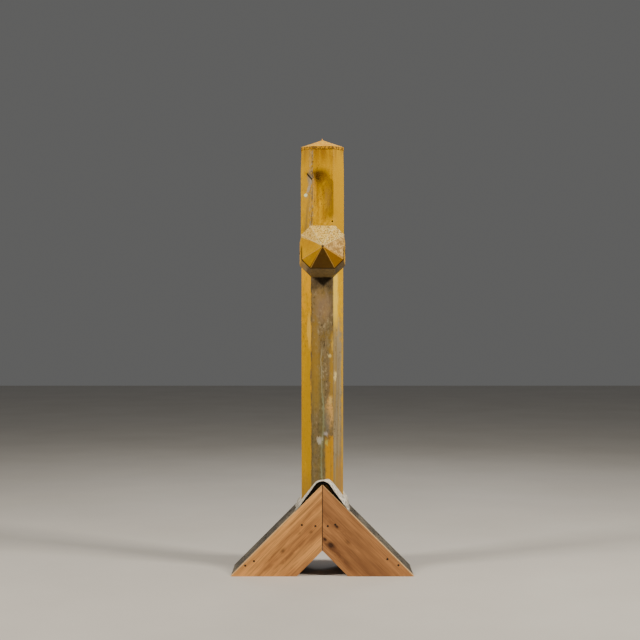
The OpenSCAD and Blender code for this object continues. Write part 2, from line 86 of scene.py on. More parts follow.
soft_box("right_box", (3.5, -1.75, 3.75), MAST_MIDDLE, (0.8, 0.8), 236, WARM)
soft_box("left_box", (-3.5, -1.75, 3.75), MAST_MIDDLE, (0.8, 0.8), 180, WARM)
soft_box("top_box", (0.3, -1.2, 4.6), (0, -0.1, 1.0), (2.4, 1.6), 12, MILD)
soft_box("rear_box", (0.6, 3.6, 3.4), (0, 0, 1.2), (2.4, 1.6), 30, COOL)

world = bpy.data.worlds.new("studio")
world.use_nodes = True
room = world.node_tree.nodes["Background"].inputs
room["Color"].default_value = ROOM_TONE
room["Strength"].default_value = ROOM_STRENGTH
bpy.context.scene.world = world


class Finish:
    """Builds the node tree of one finish from the place of a point on the piece."""

    def __init__(self, name, rough=0.6, metal=0.0, specular=0.5):
        self.mat = bpy.data.materials.new(name)
        self.mat.use_nodes = True
        self.tree = self.mat.node_tree
        self.shader = self.tree.nodes["Principled BSDF"]
        self.shader.inputs["Roughness"].default_value = rough
        self.shader.inputs["Metallic"].default_value = metal
        self.shader.inputs["Specular IOR Level"].default_value = specular
        self.place = self.tree.nodes.new("ShaderNodeTexCoord").outputs["Object"]
        split = self.tree.nodes.new("ShaderNodeSeparateXYZ")
        self.tree.links.new(self.place, split.inputs[0])
        self.x, self.y, self.z = split.outputs
        self.height = None

    def wire(self, value, socket):
        if isinstance(value, bpy.types.NodeSocket):
            self.tree.links.new(value, socket)
        else:
            socket.default_value = value

    def calc(self, how, a, b=0.0):
        node = self.tree.nodes.new("ShaderNodeMath")
        node.operation = how
        self.wire(a, node.inputs[0])
        self.wire(b, node.inputs[1])
        return node.outputs[0]

    def plus(self, a, b):
        return self.calc("ADD", a, b)

    def less(self, a, b):
        return self.calc("SUBTRACT", a, b)

    def times(self, a, b):
        return self.calc("MULTIPLY", a, b)

    def size(self, a):
        return self.calc("ABSOLUTE", a)

    def both(self, *masks):
        """Where every mask holds."""
        out = masks[0]
        for mask in masks[1:]:
            out = self.times(out, mask)
        return out

    def nudged(self, value, grain, amount):
        """A measure that a grain makes uneven, so that a band of it gets a ragged edge."""
        return self.plus(value, self.times(grain, amount))

    def band(self, value, low, high, to_low=0.0, to_high=1.0):
        node = self.tree.nodes.new("ShaderNodeMapRange")
        node.interpolation_type = "SMOOTHSTEP"
        for v, s in zip((value, low, high, to_low, to_high), node.inputs):
            self.wire(v, s)
        return node.outputs[0]

    def mottle(self, scale, stretch=(1, 1, 1), detail=4.0, rough=0.55, shift=0.0, place=None):
        mapping = self.tree.nodes.new("ShaderNodeMapping")
        mapping.inputs["Scale"].default_value = stretch
        mapping.inputs["Location"].default_value = (shift, shift * 1.7, shift * 0.6)
        self.wire(place or self.place, mapping.inputs["Vector"])
        node = self.tree.nodes.new("ShaderNodeTexNoise")
        node.inputs["Scale"].default_value = scale
        node.inputs["Detail"].default_value = detail
        node.inputs["Roughness"].default_value = rough
        self.tree.links.new(mapping.outputs[0], node.inputs["Vector"])
        return node.outputs[0]

    def blend(self, amount, under, over):
        node = self.tree.nodes.new("ShaderNodeMix")
        node.data_type = "RGBA"
        self.wire(amount, node.inputs["Factor"])
        for value, socket in ((under, node.inputs[6]), (over, node.inputs[7])):
            self.wire(to_linear(value) if isinstance(value, tuple) else value, socket)
        return node.outputs[2]

    def lay(self, colour, tone, strength, *masks):
        """Lays one tone over a colour where every mask holds."""
        return self.blend(self.times(self.both(*masks), strength), colour, tone)

    def fleck(self, colour, *flecks):
        """Lays on tones where a grain runs from low to high: (grain, low, high, strength, tone)."""
        for grain, low, high, strength, tone in flecks:
            colour = self.blend(self.band(grain, low, high, 0.0, strength), colour, tone)
        return colour

    def spot(self, cx, cz, rx, rz, ragged, edge, grain):
        """A ragged patch centred at (cx, cz), with its half width and half height."""
        dx = self.calc("DIVIDE", self.less(self.x, cx), rx)
        dz = self.calc("DIVIDE", self.less(self.z, cz), rz)
        far = self.calc("SQRT", self.plus(self.times(dx, dx), self.times(dz, dz)))
        far = self.nudged(far, self.less(grain, 0.5), ragged * 2)
        return self.band(far, 1.0 + edge, 1.0 - edge)

    def raise_by(self, value, metres):
        part = self.times(value, metres)
        self.height = part if self.height is None else self.plus(self.height, part)

    def done(self, colour, rough=None):
        self.wire(colour, self.shader.inputs["Base Color"])
        if rough is not None:
            self.wire(rough, self.shader.inputs["Roughness"])
        if self.height is not None:
            bump = self.tree.nodes.new("ShaderNodeBump")
            bump.inputs["Strength"].default_value = 1.0
            bump.inputs["Distance"].default_value = 1.0
            self.tree.links.new(self.height, bump.inputs["Height"])
            self.tree.links.new(bump.outputs[0], self.shader.inputs["Normal"])
        return self.mat


def finish_node(name, material, soften, steps=2):
    obj = cad[name]
    obj.data.materials.clear()
    obj.data.materials.append(material)
    mod = obj.modifiers.new("softened edges", "BEVEL")
    mod.width, mod.segments, mod.limit_method = soften, steps, "ANGLE"
    mod.angle_limit = math.radians(28)
    mod.harden_normals = True


floor_mesh = bpy.data.meshes.new("floor")
floor_mesh.from_pydata(FLOOR_CORNERS, [], [(0, 1, 2, 3)])
floor = link(bpy.data.objects.new("floor", floor_mesh))
screed = Finish("pale floor", rough=0.85)
floor.data.materials.append(screed.done(screed.blend(
    screed.mottle(1.3, detail=6), (196, 191, 184), (214, 210, 204))))

# ---- Front and back boards ----
# Each side of the base is a pair of planed softwood boards, mitred on the ridge line and cut
# flat at the foot. They are screwed to the cleats and battens behind them.

# pale and darker early wood of the pair's left and right boards, and the late wood of all
LEFT_WOOD = (250, 180, 104), (200, 138, 80)
RIGHT_WOOD = (198, 138, 84), (158, 108, 66)
LATE_WOOD = (129, 86, 56)
# knots: centre on the face, size, darkness
BOARD_KNOTS = {
    "front_board_left": [((-0.183, 0.118), 0.010, 0.45), ((-0.052, 0.205), 0.007, 0.4),
                         ((-0.105, 0.200), 0.006, 0.25)],
    "front_board_right": [((0.038, 0.146), 0.014, 1.0), ((0.012, 0.172), 0.009, 0.8),
                          ((0.067, 0.231), 0.007, 0.9), ((0.118, 0.158), 0.011, 0.3)],
    "back_board_left": [((-0.210, 0.100), 0.014, 0.8)],
    "back_board_right": [((0.140, 0.190), 0.015, 0.8)],
}
# dark streaks: centre on the face, half length along the grain, half width, strength
BOARD_STREAKS = {
    "front_board_left": [((-0.235, 0.090), 0.05, 0.007, 0.6), ((-0.160, 0.085), 0.14, 0.010, 0.65),
                         ((-0.245, 0.045), 0.10, 0.014, 0.4), ((-0.050, 0.290), 0.16, 0.020, 0.25)],
    "front_board_right": [((0.018, 0.150), 0.035, 0.010, 0.8), ((0.085, 0.085), 0.10, 0.012, 0.75),
                          ((0.055, 0.130), 0.05, 0.016, 0.7), ((0.060, 0.235), 0.10, 0.022, 0.5),
                          ((0.180, 0.060), 0.12, 0.012, 0.35)],
    "back_board_left": [((-0.150, 0.120), 0.15, 0.012, 0.5)],
    "back_board_right": [((0.170, 0.110), 0.12, 0.014, 0.5)],
}


def plank_finish(name, side, knots, streaks, pale, mid, shift):
    f = Finish(name, rough=0.62, specular=0.2)
    half_turn = math.sqrt(0.5)
    level = f.times(f.x, side)
    along = f.times(f.less(level, f.z), half_turn)
    across = f.times(f.plus(level, f.z), half_turn)
    join = f.tree.nodes.new("ShaderNodeCombineXYZ")
    for v, socket in zip((along, across, f.y), join.inputs):
        f.wire(v, socket)
    in_grain = join.outputs[0]

    def bell(centre, half_along, half_across):
        kx, kz = centre
        da = f.calc("DIVIDE", f.less(along, (kx * side - kz) * half_turn), half_along)
        dc = f.calc("DIVIDE", f.less(across, (kx * side + kz) * half_turn), half_across)
        return f.calc("EXPONENT", f.times(f.plus(f.times(da, da), f.times(dc, dc)), -1.0))

    sway = f.mottle(3.0, (0.45, 1.6, 1.2), 2.0, place=in_grain, shift=shift)
    wobble = f.mottle(40, (0.5, 1, 1), 4.0, 0.6, place=in_grain, shift=shift + 2)
    fibre = f.mottle(300, (0.03, 1, 1), 3.0, place=in_grain, shift=shift + 3)
    streak = f.mottle(30, (0.05, 1, 1), 4.0, place=in_grain, shift=shift + 7)
    cloud = f.mottle(8, (0.4, 1.8, 1), 3.0, place=in_grain, shift=shift + 11)

    ring = f.plus(f.plus(f.times(across, 190.0), f.times(sway, 20.0)), f.times(f.y, 60.0))
    heart = None
    for centre, size, weight in knots:
        ring = f.plus(ring, f.times(bell(centre, size * 5, size * 2.4), 11.0 * weight))
        core = f.times(bell(centre, size * 1.25, size * 0.85), weight)
        heart = core if heart is None else f.calc("MAXIMUM", heart, core)
    late = f.band(f.calc("SINE", ring), -0.2, 1.0)
    heart = f.calc("MINIMUM", f.times(heart, f.band(wobble, 0.15, 0.55, 0.8, 1.4)), 0.93)

    colour = f.blend(f.band(cloud, 0.34, 0.68), pale, mid)
    colour = f.lay(colour, LATE_WOOD, 0.20, late)
    colour = f.fleck(colour, (streak, 0.50, 0.72, 0.55, LATE_WOOD), (fibre, 0.46, 0.66, 0.36, (96, 64, 44)))
    for centre, half_along, half_across, weight in streaks:
        mask = f.times(bell(centre, half_along, half_across), f.band(wobble, 0.32, 0.62))
        colour = f.lay(colour, (107, 65, 40), weight, mask)
    colour = f.blend(heart, colour, (56, 32, 22))
    # painted highlight: a pale line along the boards' top edge, where light catches it
    colour = f.lay(colour, (246, 206, 148), 0.7, f.band(across, 0.2978, 0.2998))
    if name.startswith("back"):
        colour = f.blend(f.band(f.y, 0.1215, 0.1195), colour, (104, 98, 86))
        colour = f.blend(f.band(across, 0.2970, 0.2990), colour, (96, 90, 80))
    mitre = f.both(f.band(f.size(f.x), 0.0030, 0.0008), f.band(wobble, 0.2, 0.5, 0.6, 1.0))
    colour = f.blend(mitre, colour, (48, 30, 22))
    f.raise_by(fibre, 0.0005)
    f.raise_by(late, 0.0003)
    return f.done(colour, f.band(fibre, 0.3, 0.8, 0.5, 0.74))


for order, (board, knots) in enumerate(BOARD_KNOTS.items()):
    side = -1.0 if board.endswith("left") else 1.0
    pale, mid = LEFT_WOOD if side < 0 else RIGHT_WOOD
    streaks = BOARD_STREAKS[board]
    board_wood = plank_finish(board + " pine", side, knots, streaks, pale, mid, order * 13.0)
    finish_node(board, board_wood, 0.0012)

# ---- Screws in the boards ----
# Countersunk wood screws, driven just below the face. The dark oiled heads have a cross slot
# that has filled with dirt.

steel = Finish("dark screw steel", rough=0.45, metal=0.85)
worn_steel = steel.mottle(420, detail=5)
dark_steel = steel.done(steel.blend(steel.band(worn_steel, 0.4, 0.7), (38, 33, 30), (78, 70, 62)),
                        steel.band(worn_steel, 0.3, 0.7, 0.35, 0.65))
for name in ("front_screws", "back_screws", "stringer_screws", "bearing_screws_left",
             "bearing_screws_right", "king_post_bolts", "apron_nails"):
    finish_node(name, dark_steel, 0.0003, 1)

# ---- Carcase timber ----
# Sawn softwood inside the base, the mast's foot and the arm: cleats, battens, purlins, packers,
# king post, sheathing, formers and stringers. It is rough from the saw and grey with dust.

def sawn_finish(name, stretch, shift):
    f = Finish(name, rough=0.8, specular=0.2)
    fibre = f.mottle(150, stretch, 4.0, shift=shift)
    ring = f.mottle(22, stretch, 2.0, shift=shift + 4)
    marks = f.mottle(90, (1, 1, 1), 2.0, shift=shift + 9)
    colour = f.blend(f.band(ring, 0.35, 0.65), (168, 132, 92), (122, 90, 60))
    colour = f.fleck(colour, (fibre, 0.45, 0.8, 0.5, (84, 60, 40)))
    f.raise_by(fibre, 0.0008)
    f.raise_by(marks, 0.0004)
    return f.done(colour)


sawn_upright = sawn_finish("sawn upright timber", (1, 1, 0.06), 0.0)
sawn_deep = sawn_finish("sawn timber front to back", (1, 0.06, 1), 5.0)
sawn_wide = sawn_finish("sawn timber side to side", (0.06, 1, 1), 9.0)
for name in ("king_post", "post_packer_upper", "post_packer_lower"):
    finish_node(name, sawn_upright, 0.0012)
for name in ("foot_batten_left", "foot_batten_right", "ridge_purlin_left", "ridge_purlin_right",
             "arm_stringer_left", "arm_stringer_right"):
    finish_node(name, sawn_deep, 0.0012)
for name in ("apex_cleat_front", "apex_cleat_back", "sheathing_left", "sheathing_right",
             "arm_former_front", "arm_former_rear"):
    finish_node(name, sawn_wide, 0.001)

# ---- Apron sheets ----
# Thin zinc-coated steel sheets over the sheathing, nailed down each slope between the boards.
# The zinc has gone dull, with pale dust and rust specks round the nails.

zinc = Finish("weathered zinc", rough=0.6, metal=0.55)
flake = zinc.mottle(34, detail=2)
dust = zinc.mottle(11, (1, 0.35, 1), 6, 0.65)
speck = zinc.mottle(240, detail=3)
zinc_tone = zinc.blend(zinc.band(flake, 0.4, 0.6), (84, 76, 63), (118, 108, 92))
zinc_tone = zinc.fleck(zinc_tone, (dust, 0.48, 0.62, 0.55, (150, 142, 126)),
                       (speck, 0.44, 0.36, 0.9, (36, 30, 24)),
                       (speck, 0.58, 0.66, 0.8, (206, 198, 182)))
zinc.raise_by(dust, 0.0009)
zinc.raise_by(speck, 0.0003)
zinc_sheet = zinc.done(zinc_tone, zinc.band(dust, 0.4, 0.7, 0.45, 0.8))
finish_node("apron_sheet_left", zinc_sheet, 0.0004, 1)
finish_node("apron_sheet_right", zinc_sheet, 0.0004, 1)

# ---- Mast shells ----
# Two lengths of folded sheet steel with chamfered corners, the upper lapped over the lower.
# Years of knocks have pushed dents into them, and a corner of the upper one has split.

def sheet_section(half, cut, bend):
    """Outline of the chamfered square as (x, y, outward x, outward y), with rolled corners."""
    corners = [(cut - half, -half), (half - cut, -half), (half, cut - half), (half, half - cut),
               (half - cut, half), (cut - half, half), (-half, half - cut), (-half, cut - half)]
    corners = [Vector(c) for c in corners]
    line = []
    for i, here in enumerate(corners):
        before, after = corners[i - 1], corners[(i + 1) % 8]
        into, out = (before - here).normalized(), (after - here).normalized()
        start, end = here + into * bend, here + out * bend
        for k in range(4):
            t = k / 3
            line.append(start * (1 - t) ** 2 + here * 2 * t * (1 - t) + end * t * t)
        run = (after - here).length - 2 * bend
        count = max(3, round(run / 0.0065))
        for k in range(1, count):
            line.append(end + out * run * k / count)
    outline = []
    for i, p in enumerate(line):
        t = (line[(i + 1) % len(line)] - line[i - 1]).normalized()
        outline.append((p.x, p.y, t.y, -t.x))
    return outline


def build_mesh(name, verts, faces, material, smooth=True):
    mesh = bpy.data.meshes.new(name)
    mesh.from_pydata(verts, [], faces)
    mesh.validate()
    obj = link(bpy.data.objects.new(name, mesh))
    mesh.materials.append(material)
    if smooth:
        mesh.polygons.foreach_set("use_smooth", [True] * len(mesh.polygons))
    return obj


def settle(obj):
    """Applies the piece's modifiers to its mesh."""
    graph = bpy.context.evaluated_depsgraph_get()
    mesh = bpy.data.meshes.new_from_object(obj.evaluated_get(graph))
    obj.modifiers.clear()
    obj.data = mesh


def as_sheet(obj, wall):
    """Gives a surface the wall of its sheet, inwards."""
    thick = obj.modifiers.new("sheet", "SOLIDIFY")
    thick.thickness, thick.offset = wall, -1


section_store = {}


def cached_section(size_at, z, i):
    key = tuple(round(v, 6) for v in size_at(z))
    if key not in section_store:
        section_store[key] = sheet_section(*key)
    return section_store[key][i]


def rolled_shell(name, size_at, foot_at, top, step, push, wall, material):
    """A shell whose section follows size_at(z) and whose face is pushed in by push(x, y, z)."""
    rings = max(2, round((top - foot_at(0)) / step))
    verts, faces = [], []
    count = len(sheet_section(*size_at(top)))
    for r in range(rings + 1):
        share = r / rings
        for i in range(count):
            low = foot_at(cached_section(size_at, top, i)[0])
            z = low + (top - low) * share
            sx, sy, snx, sny = cached_section(size_at, z, i)
            depth = push(sx, sy, z)
            verts.append((sx - snx * depth, sy - sny * depth, z))
    for r in range(rings):
        for i in range(count):
            a, b = r * count + i, r * count + (i + 1) % count
            faces.append((a, b, b + count, a + count))
    obj = build_mesh(name, verts, faces, material)
    as_sheet(obj, wall)
    return obj


RIDGE = 0.425
PIVOT = 1.489
MAST_HALF, MAST_CUT, MAST_WALL = 0.098, 0.048, 0.003
UPPER_HALF, UPPER_CUT, UPPER_WALL = 0.1013, 0.0499, 0.0025
BEND = 0.006
NECK = 0.120
FRONT_SIDE, BACK_SIDE = -0.045, 0.045
upper_low, upper_high = (c.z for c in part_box("mast_upper_shell"))
lower_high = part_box("mast_lower_shell")[1].z
# the split in the upper corner: its middle, and the slope it runs at
SPLIT_X, SPLIT_Z, SPLIT_ACROSS, SPLIT_DOWN = -0.059, 1.856, 0.62, 0.78
# dents: place, half width, half height, depth
UPPER_FRONT_DENTS = [(0.055, 1.672, 0.011, 0.028, 0.0042)]
UPPER_BACK_DENTS = [(0.02, 1.78, 0.05, 0.07, 0.0035)]
UPPER_SIDE_DENTS = [(0.01, 1.83, 0.03, 0.05, 0.0030)]
LOWER_FRONT_DENTS = [
    (0.030, 0.742, 0.022, 0.050, 0.0026), (-0.012, 0.640, 0.030, 0.022, 0.0024),
    (0.012, 1.230, 0.030, 0.080, 0.0022), (-0.072, 1.16, 0.020, 0.06, 0.0018),
    (0.076, 0.94, 0.016, 0.05, 0.0020), (0.020, 0.98, 0.018, 0.02, 0.0018)]
LOWER_BACK_DENTS = [(0.01, 0.90, 0.03, 0.07, 0.0026), (-0.03, 1.25, 0.02, 0.05, 0.0022)]


def ease(value, low, high):
    t = min(1.0, max(0.0, (value - low) / (high - low)))
    return t * t * (3 - 2 * t)


def ripple(x, y, z, scale, shift):
    return 0.5 + 0.5 * noise.noise(Vector((x * scale + shift, y * scale, z * scale * 0.6)))


def dented(u, v, dents):
    """How far the dents push in a point of a face."""
    return sum(d * math.exp(-(((u - cu) / ru) ** 2 + ((v - cv) / rv) ** 2)) for cu, cv, ru, rv, d in dents)


def crease(off, width, run, length, depth):
    """How far a straight crease pushes in a point that lies off its line and along its run."""
    return depth * math.exp(-(off / width) ** 2) * math.exp(-(run / length) ** 4)


def upper_push(x, y, z):
    depth = 0.0006 * ripple(x, y, z, 14, 3.1)
    if y < FRONT_SIDE:
        right = 0.052 - 0.026 * ease(z, 1.80, 1.885)
        hollow = ease(z, 1.886, 1.852) * ease(x, right, right - 0.050) * ease(z, 1.60, 1.80)
        hollow *= 0.40 + 0.60 * ease(x, -0.060, -0.022)
        hollow *= ease(x, -0.105, -0.060)
        depth += 0.024 * hollow
        sx, sz = x - SPLIT_X, z - SPLIT_Z
        depth += crease(sx * SPLIT_DOWN + sz * SPLIT_ACROSS, 0.0042, sx * SPLIT_ACROSS - sz * SPLIT_DOWN,
                        0.019, 0.0095)
        depth += crease((x + 0.062) - 0.30 * (z - 1.80), 0.004, z - 1.80, 0.045, 0.0030)
        depth += dented(x, z, UPPER_FRONT_DENTS)
    else:
        depth += dented(x, z, UPPER_BACK_DENTS) * (y > 0.05)
        depth += dented(y, z, UPPER_SIDE_DENTS) * (x > 0.05)
    return depth


def lower_push(x, y, z):
    depth = 0.0007 * ripple(x, y, z, 9, 8.4)
    if y < FRONT_SIDE:
        depth += dented(x, z, LOWER_FRONT_DENTS)
    elif y > BACK_SIDE:
        depth += dented(x, z, LOWER_BACK_DENTS)
    return depth


def mast_finish(name, weathered):
    """The mast's paint: a whole yellow coat, and what weathered(f, colour) lays over it."""
    f = Finish(name, rough=0.55, specular=0.12)
    f.fine = f.mottle(160, (1, 1, 0.35), 5, 0.6)
    f.broad = f.mottle(9, (1, 1, 0.25), 5, 0.6, 4.0)
    f.run = f.mottle(60, (1, 1, 0.03), 4, 0.6, 8.0)
    f.wide_run = f.mottle(24, (1, 1, 0.05), 4, 0.6, 15.0)
    f.patchy = f.mottle(36, (1, 1, 0.55), 6, 0.65, 21.0)
    f.flakes = f.mottle(85, (1, 1, 0.6), 5, 0.65, 31.0)
    f.specks = f.mottle(120, (1, 1, 0.5), 3, 0.7, 41.0)
    chamfer = f.band(f.y, -0.040, -0.052)
    f.left = f.both(f.band(f.x, -0.049, -0.0535), chamfer)
    f.right = f.both(f.band(f.x, 0.049, 0.0535), chamfer)
    yellow = f.blend(f.band(f.broad, 0.30, 0.70), (218, 164, 0), (200, 149, 0))
    yellow = f.fleck(yellow, (f.run, 0.50, 0.78, 0.45, (201, 139, 0)),
                     (f.flakes, 0.56, 0.64, 0.55, (240, 184, 0)),
                     (f.flakes, 0.46, 0.38, 0.6, (184, 126, 4)))
    yellow = f.blend(f.both(f.band(f.specks, 0.60, 0.66), f.band(f.broad, 0.40, 0.60)), yellow,
                     (112, 78, 30))
    yellow = f.fleck(yellow, (f.fine, 0.60, 0.80, 0.55, (133, 95, 43)))
    # painted light: the right chamfer is laid a lighter yellow, as if lit by the stronger right lamp
    yellow = f.lay(yellow, (226, 176, 0), 0.45, f.right)
    colour = weathered(f, yellow)
    f.raise_by(f.flakes, 0.0007)
    f.raise_by(f.fine, 0.00035)
    f.raise_by(f.run, 0.0004)
    return f.done(colour, f.band(f.flakes, 0.35, 0.7, 0.42, 0.66))


def lower_weather(f, colour):
    """The lower front is nearly bare, its right corner is bleached, its left keeps its yellow, and under
    the arm it has painted shade.
    """
    g, flakes, specks = f.patchy, f.flakes, f.specks
    front = f.band(f.y, -0.0925, -0.0965)
    bare = f.blend(f.band(f.wide_run, 0.38, 0.66), (133, 112, 78), (112, 96, 64))
    bare = f.fleck(bare, (f.run, 0.50, 0.72, 0.7, (146, 136, 96)),
                   (flakes, 0.56, 0.64, 0.65, (176, 156, 118)),
                   (flakes, 0.46, 0.37, 0.6, (92, 76, 50)), (specks, 0.56, 0.66, 0.8, (70, 56, 38)),
                   (g, 0.50, 0.62, 0.55, (140, 112, 46)))
    colour = f.blend(front, colour, bare)
    wavy = f.plus(f.x, f.times(f.calc("SINE", f.times(f.z, 15.0)), 0.0055))
    streak = f.size(f.nudged(wavy, f.less(flakes, 0.5), 0.02))
    scratch = f.size(f.nudged(f.plus(f.x, 0.004), f.less(g, 0.5), 0.02))
    # painted shadow: a V-shaped wedge under the arm, where the arm's shadow falls on the front
    arm_shadow_wedge = f.less(f.less(f.z, 1.347), f.size(f.less(f.x, 0.005)))
    for tone, strength, *masks in (
            ((160, 128, 50), 0.8, f.spot(-0.030, 0.86, 0.026, 0.10, 0.5, 0.4, g),
             f.band(flakes, 0.40, 0.54, 0.3, 1.0)),
            ((170, 130, 40), 0.6, f.spot(-0.034, 1.02, 0.018, 0.20, 1.1, 0.7, flakes)),
            ((210, 150, 0), 0.9, f.band(f.nudged(f.x, g, 0.020), 0.018, 0.026),
             f.band(f.nudged(f.z, g, 0.16), 0.740, 0.690), f.band(flakes, 0.36, 0.44, 0.6, 1.0),
             f.band(f.run, 0.62, 0.50, 0.45, 1.0)),
            ((190, 144, 40), 0.65, f.spot(0.044, 0.95, 0.010, 0.15, 1.2, 0.6, flakes)),
            ((226, 176, 104), 0.9, f.spot(0.034, 0.755, 0.020, 0.062, 1.0, 0.5, flakes),
             f.band(specks, 0.42, 0.52, 0.25, 1.0)),
            ((226, 190, 110), 0.8, f.spot(0.036, 0.815, 0.008, 0.018, 1.6, 0.5, specks)),
            ((112, 110, 100), 0.7, f.spot(0.020, 0.715, 0.018, 0.055, 0.6, 0.4, g)),
            ((155, 128, 101), 0.6, f.spot(0.006, 1.250, 0.034, 0.060, 0.7, 0.5, g)),
            ((164, 170, 136), 0.75, f.band(streak, 0.0060, 0.0015), f.band(f.z, 0.90, 0.80),
             f.band(f.run, 0.34, 0.54)),
            ((112, 104, 66), 0.6, f.band(f.nudged(f.z, g, 0.3), 1.12, 0.96),
             f.band(f.wide_run, 0.40, 0.60, 0.35, 1.0),
             f.band(f.x, 0.024, 0.012)),
            ((169, 157, 122), 0.7, f.band(scratch, 0.0035, 0.001), f.band(f.z, 1.08, 1.02),
             f.band(f.z, 0.82, 0.90)),
            ((206, 204, 190), 0.6, f.spot(-0.013, 0.628, 0.012, 0.016, 1.4, 0.6, specks)),
            ((198, 190, 190), 0.6, f.spot(0.015, 0.656, 0.009, 0.010, 1.4, 0.6, specks)),
            ((196, 190, 100), 0.6, f.spot(0.020, 0.616, 0.007, 0.012, 1.4, 0.6, specks)),
            ((232, 214, 150), 0.6, f.spot(0.034, 1.020, 0.007, 0.008, 1.4, 0.6, specks)),
            ((226, 180, 76), 0.6, f.spot(0.047, 1.075, 0.006, 0.034, 1.4, 0.6, specks)),
            ((150, 122, 78), 0.6, f.spot(-0.020, 1.300, 0.020, 0.030, 1.4, 0.6, specks)),
            # painted shade: a darker band just under the arm, then the near-black wedge of painted shadow
            ((88, 73, 59), 0.55, f.band(f.z, 1.30, 1.38)),
            ((18, 12, 6), 0.8, f.band(arm_shadow_wedge, -0.014, 0.006))):
        colour = f.lay(colour, tone, strength, front, *masks)
    grey = f.blend(f.band(f.wide_run, 0.4, 0.65), (158, 140, 108), (120, 108, 86))
    grey = f.fleck(grey, (f.run, 0.5, 0.75, 0.6, (192, 176, 136)), (specks, 0.56, 0.66, 0.7, (92, 80, 58)))
    faded = f.both(f.right, f.band(f.nudged(f.z, g, 0.34), 1.42, 1.26))
    bleached = f.band(f.nudged(f.x, f.less(g, 0.5), 0.05), 0.100, 0.084)
    colour = f.blend(f.both(faded, bleached), colour, grey)
    for tone, strength, *masks in (
            ((178, 142, 66), 1.0, faded, f.band(f.wide_run, 0.50, 0.66, 0, 0.75)),
            ((186, 146, 60), 1.0, faded, f.band(f.x, 0.086, 0.096, 0, 0.6)),
            ((246, 210, 90), 0.75, f.right, f.band(f.z, 1.12, 1.25),
             f.band(f.nudged(f.x, g, 0.03), 0.094, 0.080)),
            ((228, 204, 140), 1.0, f.right, f.spot(0.060, 0.925, 0.006, 0.018, 1.8, 0.6, specks)),
            ((172, 128, 60), 0.7, f.right, f.spot(0.085, 0.44, 0.02, 0.10, 0.8, 0.5, g)),
            ((246, 177, 0), 0.8, f.left, f.band(f.nudged(f.z, g, 0.3), 1.26, 1.40), f.band(g, 0.35, 0.62)),
            ((246, 194, 70), 0.75, f.left, f.spot(-0.060, 1.13, 0.012, 0.075, 0.7, 0.4, g)),
            ((201, 153, 0), 0.75, f.left, f.band(f.nudged(f.z, g, 0.12), 1.16, 1.06),
             f.band(f.broad, 0.35, 0.6)),
            ((153, 117, 60), 0.55, f.left, f.band(f.nudged(f.z, g, 0.16), 0.60, 0.46))):
        colour = f.lay(colour, tone, strength, *masks)
    return colour


def upper_weather(f, colour):
    """The upper shell is grimy under its cap, has painted shade in its big dent, and its corner is split.
    """
    g, flakes = f.patchy, f.flakes
    front = f.both(f.band(f.y, -0.066, -0.074), f.band(f.size(f.x), 0.055, 0.050))
    forward = f.band(f.y, -0.03, -0.05)
    corner = f.both(f.band(f.x, -0.066, -0.058), f.band(f.x, -0.040, -0.048), f.band(f.y, -0.06, -0.08))
    edge = f.less(0.049, f.times(f.band(f.z, 1.825, 1.885), 0.050))
    inside = f.less(f.x, edge)
    # painted shade: a trough and a blot of dark paint in the big dent, where its walls fall into shade
    dent_shade_trough = f.both(f.band(inside, -0.070, -0.006), f.band(inside, 0.009, 0.000), f.band(f.z, 1.640, 1.680),
                    f.band(f.z, 1.893, 1.868))
    dent_shade_blot = f.spot(-0.008, 1.862, 0.042, 0.034, 0.25, 0.5, g)
    dent_shade = f.calc("MAXIMUM", f.times(dent_shade_trough, 0.50), f.times(dent_shade_blot, 0.56))
    trail = f.size(f.less(f.plus(f.x, 0.064), f.times(f.less(f.z, 1.80), 0.28)))
    sx, sz = f.less(f.x, SPLIT_X), f.less(f.z, SPLIT_Z)
    off_split = f.size(f.plus(f.times(sx, SPLIT_DOWN), f.times(sz, SPLIT_ACROSS)))
    along_split = f.size(f.less(f.times(sx, SPLIT_ACROSS), f.times(sz, SPLIT_DOWN)))
    for tone, strength, *masks in (
            ((198, 148, 0), 0.75, f.right),
            ((111, 85, 49), 0.75, f.band(f.nudged(f.z, flakes, 0.10), 1.985, 2.045),
             f.band(f.run, 0.40, 0.56)),
            ((150, 100, 4), 0.62, f.band(f.nudged(f.z, flakes, 0.12), 1.945, 2.020),
             f.band(f.x, 0.075, 0.052),
             f.band(f.run, 0.30, 0.56, 0.35, 1.0)),
            ((104, 84, 46), 1.0, corner, f.band(flakes, 0.44, 0.54)),
            ((176, 160, 128), 1.0, corner, f.band(f.fine, 0.50, 0.58)),
            ((164, 112, 8), 0.55, front, f.band(f.run, 0.50, 0.60), f.band(f.broad, 0.44, 0.56)),
            ((231, 174, 32), 0.55, f.left, f.band(f.broad, 0.36, 0.66)),
            ((146, 116, 60), 0.75, f.left, f.band(f.wide_run, 0.50, 0.66)),
            ((246, 184, 43), 0.6, front, f.band(f.nudged(f.z, g, 0.07), 1.710, 1.665),
             f.band(flakes, 0.42, 0.62)),
            # painted shade in the big dent
            ((92, 64, 0), 1.0, front, dent_shade),
            ((152, 138, 116), 0.7, forward, f.spot(-0.055, 1.855, 0.016, 0.034, 0.5, 0.35, g)),
            ((187, 171, 147), 0.9, forward, f.band(trail, 0.0095, 0.003), f.band(f.z, 1.752, 1.77),
             f.band(f.z, 1.85, 1.83), f.band(g, 0.30, 0.52)),
            ((53, 42, 32), 1.0, forward, f.band(f.nudged(off_split, g, 0.004), 0.0068, 0.0040),
             f.band(along_split, 0.026, 0.018)),
            ((234, 246, 200), 1.0, forward, f.spot(-0.078, 1.772, 0.0075, 0.0075, 0.35, 0.25, g))):
        colour = f.lay(colour, tone, strength, *masks)
    return colour


